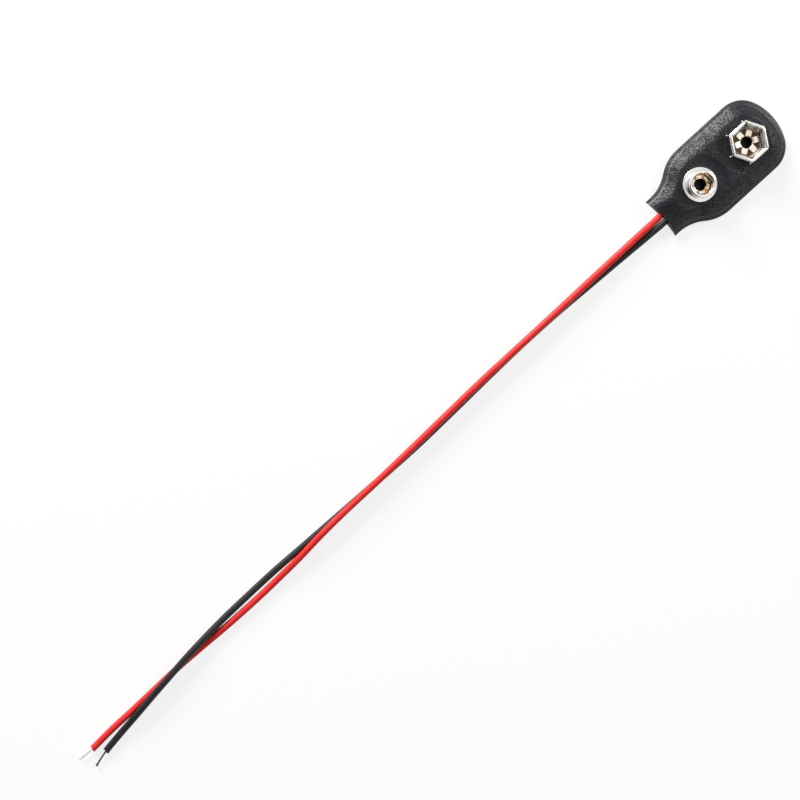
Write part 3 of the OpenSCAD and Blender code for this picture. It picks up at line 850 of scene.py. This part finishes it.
class SNAP_OT_pouch(bpy.types.Operator):
    """Makes the two welded vinyl sheets and finishes the board and solder inside them"""
    bl_idname = "battery_snap.pouch"
    bl_label = "Pouch"

    def execute(self, context):
        settings = context.scene.battery_snap
        stack = Stack(settings)
        plan = Plan(settings, stack)
        vinyl = vinyl_finish(settings.finishes)
        sheet_piece("face_cover", settings, stack, plan, face_heights,
                    (stack.stud_x, stack.socket_x), vinyl, "face_sheet", True)
        sheet_piece("back_cover", settings, stack, plan, back_heights, (), vinyl, "back_sheet", False)
        solder = metal_finish("solder", settings.finishes.tin, (0.5, 0.5, 0.5), roughness=(0.2, 0.35),
                              depth=0.00001)
        board = fibre_finish(settings.finishes)
        for node, finish in (("stiffener_board", board), ("stud_solder", solder), ("socket_solder", solder)):
            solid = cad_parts[node]
            solid.data.materials.clear()
            solid.data.materials.append(finish)
        return {"FINISHED"}


def turned_piece(name, section, x, stack, finish, slot, node):
    """The stud: its closed section turned round an upright axis, with painted shade inside."""
    sides = 144
    angles = evenly_round(sides)
    points = np.concatenate([
        np.column_stack((x + r * np.cos(angles), r * np.sin(angles), np.full(sides, z))) for r, z in section
    ])
    faces = ring_faces(0, len(section), sides, closed=True)
    return new_piece(name, points, faces, finish, slot, (node,), crease=35,
                     recess=recess(points, x, *STUD_SHADED, stack))


def recess(points, x, reach, shade_height, stack):
    """Share of painted shade: 1 on the floor inside a terminal, and 0 outside and where its wall is left
    unshaded.
    """
    low = 1 - fade(np.asarray(points)[:, 2] - stack.seat, shade_height, 0.0007)
    return low * (1 - fade(from_axis(points, x), reach, 0.0002))


def stud_section(terminals, stack):
    """Section of the stud: flange, waist, straight wall, folded lip, inner wall and floor."""
    metal, bend = terminals.metal, terminals.bend
    floor = stack.seat + metal / 2
    wall = (terminals.stud_width - metal) / 2
    waist = wall - terminals.stud_waist
    inner = terminals.stud_width / 2 - terminals.stud_lip + metal / 2
    lip = (wall - inner) / 2
    lip_z = stack.seat + terminals.stud_height - metal / 2 - lip
    swell = math.degrees(math.acos(1 - terminals.stud_waist / 2 / bend))
    swell_z = lip_z - terminals.stud_land
    waist_z = swell_z - 2 * bend * math.sin(math.radians(swell))

    def line(o):
        return np.concatenate((
            arc((waist + bend, floor + bend), bend - o, 270, 180, 9),
            arc((waist + bend, waist_z), bend - o, 180, 180 - swell, 6),
            arc((wall - bend, swell_z), bend + o, -swell, 0, 6),
            arc((wall - lip, lip_z), lip + o, 0, 180, 25),
            arc((inner - bend, floor + bend), bend - o, 0, -90, 9),
            [(stack.hole, floor + o)],
        ))

    flange = arc((terminals.flange / 2 - metal / 2, floor), metal / 2, -90, 90, 9)
    return np.concatenate((flange, line(metal / 2), line(-metal / 2)[::-1]))


def folded_piece(name, points, faces, thickness, edge, finish, slot, node, **shades):
    """Sheet metal of one thickness, given by its middle surface, with softened edges."""
    piece = new_piece(name, points, faces, finish, slot, (node,), crease=35, **shades)
    shell = piece.modifiers.new("thickness", "SOLIDIFY")
    shell.thickness = thickness
    shell.offset = 0
    shell.use_even_offset = True
    softened = piece.modifiers.new("edges", "BEVEL")
    softened.width = edge
    softened.segments = 2
    softened.limit_method = "ANGLE"
    softened.angle_limit = math.radians(50)
    return piece


def socket_surface(terminals, stack):
    """Middle surface of the socket: a six-sided floor whose sides turn up and fold into spring fingers."""
    metal, bend, fold = terminals.metal, terminals.bend, terminals.fold
    floor = stack.seat + metal / 2
    wall = (terminals.socket_width - metal) / 2
    grip = (terminals.socket_grip + metal) / 2
    fold_z = stack.seat + terminals.socket_height - metal / 2 - fold
    grip_z = stack.seat + terminals.grip_height
    section = np.concatenate((
        arc((wall - bend, floor + bend), bend, -90, 0, 7),
        [(wall, mix(floor + bend, fold_z, s)) for s in (0.25, 0.5, 0.75)],
        arc((wall - fold, fold_z), fold, 0, 180, 15),
        [(mix(wall - 2 * fold, grip, s), mix(fold_z, grip_z, s)) for s in (0.33, 0.67)],
        arc((grip + terminals.curl, grip_z), terminals.curl, 180, 250, 7),
    ))
    across, half = 8, math.tan(SECTOR / 2)
    rows = len(section)
    slit = terminals.slit * smooth(np.arange(rows) / 5)
    leans = (0.00002, -0.00003, 0.00001, 0.00003, -0.00001, -0.00002)
    centre = np.array((stack.socket_x, 0))
    points, faces, hexagon, joined = [], [], [], {}
    for finger in range(SIDES):
        ahead, beside = heading((finger + 0.5) * SECTOR)
        first = len(points)
        for i, (reach, z) in enumerate(section):
            reach = reach + leans[finger] * (z - floor) / terminals.socket_height * 2
            width = (reach - slit[i]) * half
            for j in range(across + 1):
                p = centre + reach * ahead + width * (2 * j / across - 1) * beside
                points.append((*p, z))
        for i in range(rows - 1):
            for j in range(across):
                a = first + i * (across + 1) + j
                faces.append((a, a + 1, a + across + 2, a + across + 1))
        hexagon += [first + j for j in range(across)]
        joined[first + across] = (finger + 1) % SIDES * rows * (across + 1)
    faces = [tuple(joined.get(v, v) for v in f) for f in faces]
    ring = len(hexagon)
    previous = hexagon
    for share in (0.5, 0):
        current = []
        for v in hexagon:
            p = np.array(points[v][:2]) - centre
            near = stack.hole * p / np.linalg.norm(p)
            current.append(len(points))
            points.append((*(mix(near, p, share) + centre), floor))
        for k in range(ring):
            n = (k + 1) % ring
            faces.append((current[k], current[n], previous[n], previous[k]))
        previous = current
    # Small tabs of the floor at its corners
    root = 1.02 * (wall - bend) / math.cos(SECTOR / 2)
    end = terminals.socket_width / 2 / math.cos(SECTOR / 2) + terminals.tab
    for corner in range(SIDES):
        ahead, beside = heading(corner * SECTOR)
        first = len(points)
        for reach, side in ((root, -TAB_ROOT), (end, -TAB_END), (end, TAB_END), (root, TAB_ROOT)):
            points.append((*(centre + reach * ahead + side * beside), floor))
        faces.append((first, first + 1, first + 2, first + 3))
    return without_strays(points, faces)


def without_strays(points, faces):
    """The same surface without points that no face uses."""
    used = sorted({v for f in faces for v in f})
    order = {v: i for i, v in enumerate(used)}
    return [points[v] for v in used], [tuple(order[v] for v in f) for f in faces]


def eyelet_surface(x, petal, turn, leans, terminals, stack):
    """Middle surface of an eyelet: head, barrel, and a split end turned out into petals."""
    wall, bend, middle = terminals.eyelet_wall, stack.eyelet_bend, stack.eyelet_middle
    head_z = stack.board - wall / 2
    top_z = stack.floor + wall / 2
    barrel = np.concatenate((
        [(terminals.eyelet_head / 2, head_z)],
        arc((middle + bend, head_z + bend), bend, 270, 180, 7),
        [(middle, mix(head_z + bend, top_z - bend, 0.5)), (middle, top_z - bend)],
    ))
    across = 8
    sides = SIDES * across
    points, faces = [], []
    for r, z in barrel:
        for k in range(sides):
            a = turn + k * SECTOR / across
            points.append((x + r * math.cos(a), r * math.sin(a), z))
    faces += ring_faces(0, len(barrel), sides)
    rim = (len(barrel) - 1) * sides
    ending = np.concatenate((
        arc((middle + bend, top_z - bend), bend, 180, 90, 8)[1:],
        [(mix(middle + bend, petal, s), top_z) for s in (0.35, 0.7, 1)],
    ))
    for leaf in range(SIDES):
        ahead, beside = heading(turn + leaf * SECTOR + SECTOR / 2)
        previous = [rim + (leaf * across + j) % sides for j in range(across + 1)]
        for i, (r, z) in enumerate(ending):
            full = r * math.sin(SECTOR / 2)
            half = mix(full, terminals.petal / 2, min(1, (i + 1) / 2)) if i < 2 else terminals.petal / 2
            if i == len(ending) - 1:
                half *= 0.9
            current = []
            for j in range(across + 1):
                y = half * (2 * j / across - 1)
                p = np.array((x, 0)) + math.sqrt(r * r - y * y) * ahead + y * beside
                lift = leans[leaf] * max(0, r - middle)
                current.append(len(points))
                points.append((*p, z + lift))
            faces += [(previous[j], previous[j + 1], current[j + 1], current[j]) for j in range(across)]
            previous = current
    return points, faces


class SNAP_OT_terminals(bpy.types.Operator):
    """Makes the stud, the spring socket and the brass eyelets that rivet them"""
    bl_idname = "battery_snap.terminals"
    bl_label = "Terminals"

    def execute(self, context):
        settings = context.scene.battery_snap
        terminals, finishes = settings.terminals, settings.finishes
        stack = Stack(settings)
        # Each terminal's nickel takes a tint of painted shade on its floor
        stud_nickel, socket_nickel = (
            metal_finish(f"{name}_nickel", finishes.nickel, (0.68, 0.66, 0.62), roughness=(0.1, 0.2),
                         depth=0.000004, streaks=(1, 1, 0.08), painted_shade_tint=painted_shade_tint)
            for name, painted_shade_tint in (("stud", finishes.stud_painted_shade), ("socket", finishes.painted_shade_tint))
        )
        turned_piece("stud", stud_section(terminals, stack), stack.stud_x, stack, stud_nickel, "nickel",
                     "stud_terminal")
        points, faces = socket_surface(terminals, stack)
        inside = terminals.socket_width / 2 - 0.0003
        fingers = smooth((inside - from_axis(points, stack.socket_x)) / 0.0002)
        folded_piece("spring_socket", points, faces, terminals.metal, 0.00004, socket_nickel, "nickel",
                     "socket_terminal", recess=recess(points, stack.socket_x, *SOCKET_SHADED, stack),
                     dull=fingers)
        for name, x, petal, turn, shade_and_stain, leans in (
            ("stud", stack.stud_x, terminals.stud_petal, 30, 1.6, (0.05, 0.12, 0.03, 0.09, 0.14, 0.02)),
            ("socket", stack.socket_x, terminals.socket_petal, 5, 1.0, (0.1, 0.02, 0.13, 0.05, 0.0, 0.08)),
        ):
            spots = (0.5 - 0.03 * shade_and_stain, 0.65 - 0.03 * shade_and_stain)
            brass = metal_finish(f"{name}_brass", finishes.brass, (0.82, 0.64, 0.38), roughness=(0.16, 0.34),
                                 depth=0.000008, painted_shade_tint=finishes.tarnish_and_shade, patch=420, spots=spots)
            points, faces = eyelet_surface(x, petal, math.radians(turn), leans, terminals, stack)
            reach = from_axis(points, x)
            # The tarnish colour is painted shade round the hole, fading out along the petals
            folded_piece(f"{name}_rivet", points, faces, terminals.eyelet_wall, 0.00003, brass, "brass",
                         f"{name}_eyelet",
                         recess=1 - smooth((reach - stack.eyelet_middle) / stack.eyelet_bend / shade_and_stain))
        return {"FINISHED"}


def white_to_sight(tree):
    """1 for rays that look at a surface or are mirrored or passed on to it, 0 for those that light things."""
    rays = add_node(tree, "ShaderNodeLightPath").outputs
    seen = math_node(tree, "MAXIMUM", rays["Is Camera Ray"], rays["Is Glossy Ray"])
    return math_node(tree, "MAXIMUM", seen, rays["Is Transmission Ray"])


def end_by_sight(tree, kind, lights, shows):
    """Ends a tree with one shader for the rays that light things and another for those that look."""
    either = add_node(tree, "ShaderNodeMixShader",
                      {0: white_to_sight(tree), 1: lights.outputs[0], 2: shows.outputs[0]})
    add_node(tree, kind, {"Surface": either.outputs[0]})


def dark_toward(tree, direction, inner, outer, left):
    """Share of the white surround that is left where something dark stands, its two angles in degrees."""
    ray = add_node(tree, "ShaderNodeTexCoord").outputs["Generated"]
    toward = add_node(tree, "ShaderNodeVectorMath", {0: ray, 1: Vector(direction).normalized()},
                      operation="DOT_PRODUCT").outputs["Value"]
    return ranged(tree, toward, math.cos(math.radians(outer)), math.cos(math.radians(inner)), 1.0, left)


class SNAP_OT_stage(bpy.types.Operator):
    """Sets the pale floor, the soft light, the white surround and the camera"""
    bl_idname = "battery_snap.stage"
    bl_label = "Stage"

    def execute(self, context):
        scene = context.scene
        stage = scene.battery_snap.stage
        scene.view_settings.view_transform = "Standard"

        camera = put("camera", bpy.data.cameras.new("camera"))
        camera.data.lens = stage.camera_lens
        camera.data.clip_start = 0.01
        camera.location = stage.camera_place
        camera.rotation_euler = stage.camera_turn
        scene.camera = camera

        mesh = bpy.data.meshes.new("floor")
        reach, below = 3.0, -0.00002
        corners = [(x * reach, y * reach, below) for x, y in ((-1, -1), (1, -1), (1, 1), (-1, 1))]
        mesh.from_pydata(corners, [], [(0, 1, 2, 3)])
        floor = put("floor", mesh)
        paper = bpy.data.materials.new("white_paper")
        tree = emptied_tree(paper)
        matt = add_node(tree, "ShaderNodeBsdfDiffuse", {"Color": (*stage.floor, 1)})
        dim = add_node(tree, "ShaderNodeBsdfDiffuse", {"Color": (*FLOOR_GREY, 1)})
        lit = add_node(tree, "ShaderNodeEmission", {"Color": (1, 1, 1, 1), "Strength": FLOOR_WHITE})
        seen = add_node(tree, "ShaderNodeAddShader", {0: dim.outputs[0], 1: lit.outputs[0]})
        end_by_sight(tree, "ShaderNodeOutputMaterial", matt, seen)
        mesh.materials.append(paper)

        world = bpy.data.worlds.new("studio")
        scene.world = world
        tree = emptied_tree(world)
        fill = add_node(tree, "ShaderNodeBackground", {"Color": (1, 1, 1, 1), "Strength": stage.surround})
        camera_side = dark_toward(tree, stage.camera_place, *CAMERA_DARK)
        tail_side = dark_toward(tree, TAIL_DARK_TOWARD, *TAIL_DARK)
        left = math_node(tree, "MULTIPLY", camera_side, tail_side)
        mirrored = add_node(tree, "ShaderNodeLightPath").outputs["Is Glossy Ray"]
        taken = math_node(tree, "MULTIPLY", math_node(tree, "SUBTRACT", 1.0, left), mirrored)
        strength = math_node(tree, "SUBTRACT", 1.0, taken)
        white = add_node(tree, "ShaderNodeBackground", {"Color": (1, 1, 1, 1), "Strength": strength})
        end_by_sight(tree, "ShaderNodeOutputWorld", fill, white)

        for name, power, width, place in (
            ("soft_box", stage.key, stage.key_width, stage.key_place),
            ("side_light", stage.side, stage.side_width, stage.side_place),
        ):
            lamp = bpy.data.lights.new(name, "AREA")
            lamp.energy = power
            lamp.size = width
            light = put(name, lamp)
            light.location = place
            aim = Vector(LAMPS_AIM) - light.location
            light.rotation_euler = aim.to_track_quat("-Z", "Y").to_euler()
        return {"FINISHED"}


STEPS = (SNAP_OT_stage, SNAP_OT_leads, SNAP_OT_pouch, SNAP_OT_terminals)


class SNAP_PT_panel(bpy.types.Panel):
    """Lists the settings and the steps that build the battery snap"""
    bl_idname = "SNAP_PT_panel"
    bl_label = "Battery Snap"
    bl_space_type = "VIEW_3D"
    bl_region_type = "UI"
    bl_category = "Battery Snap"

    def draw(self, context):
        settings = context.scene.battery_snap
        for group in SnapSettings.__annotations__:
            box = self.layout.box()
            box.label(text=group.title())
            part = getattr(settings, group)
            for key in type(part).__annotations__:
                box.prop(part, key)
        for step in STEPS:
            self.layout.operator(step.bl_idname)


CLASSES = (
    PouchSettings, TerminalSettings, LeadSettings, FinishSettings, StageSettings, SnapSettings,
    *STEPS, SNAP_PT_panel,
)


def register():
    for made in CLASSES:
        bpy.utils.register_class(made)
    bpy.types.Scene.battery_snap = PointerProperty(type=SnapSettings)


def unregister():
    del bpy.types.Scene.battery_snap
    for made in reversed(CLASSES):
        bpy.utils.unregister_class(made)


def main():
    register()
    bpy.ops.battery_snap.stage()
    bpy.ops.battery_snap.leads()
    bpy.ops.battery_snap.pouch()
    bpy.ops.battery_snap.terminals()


if __name__ == "__main__":
    main()
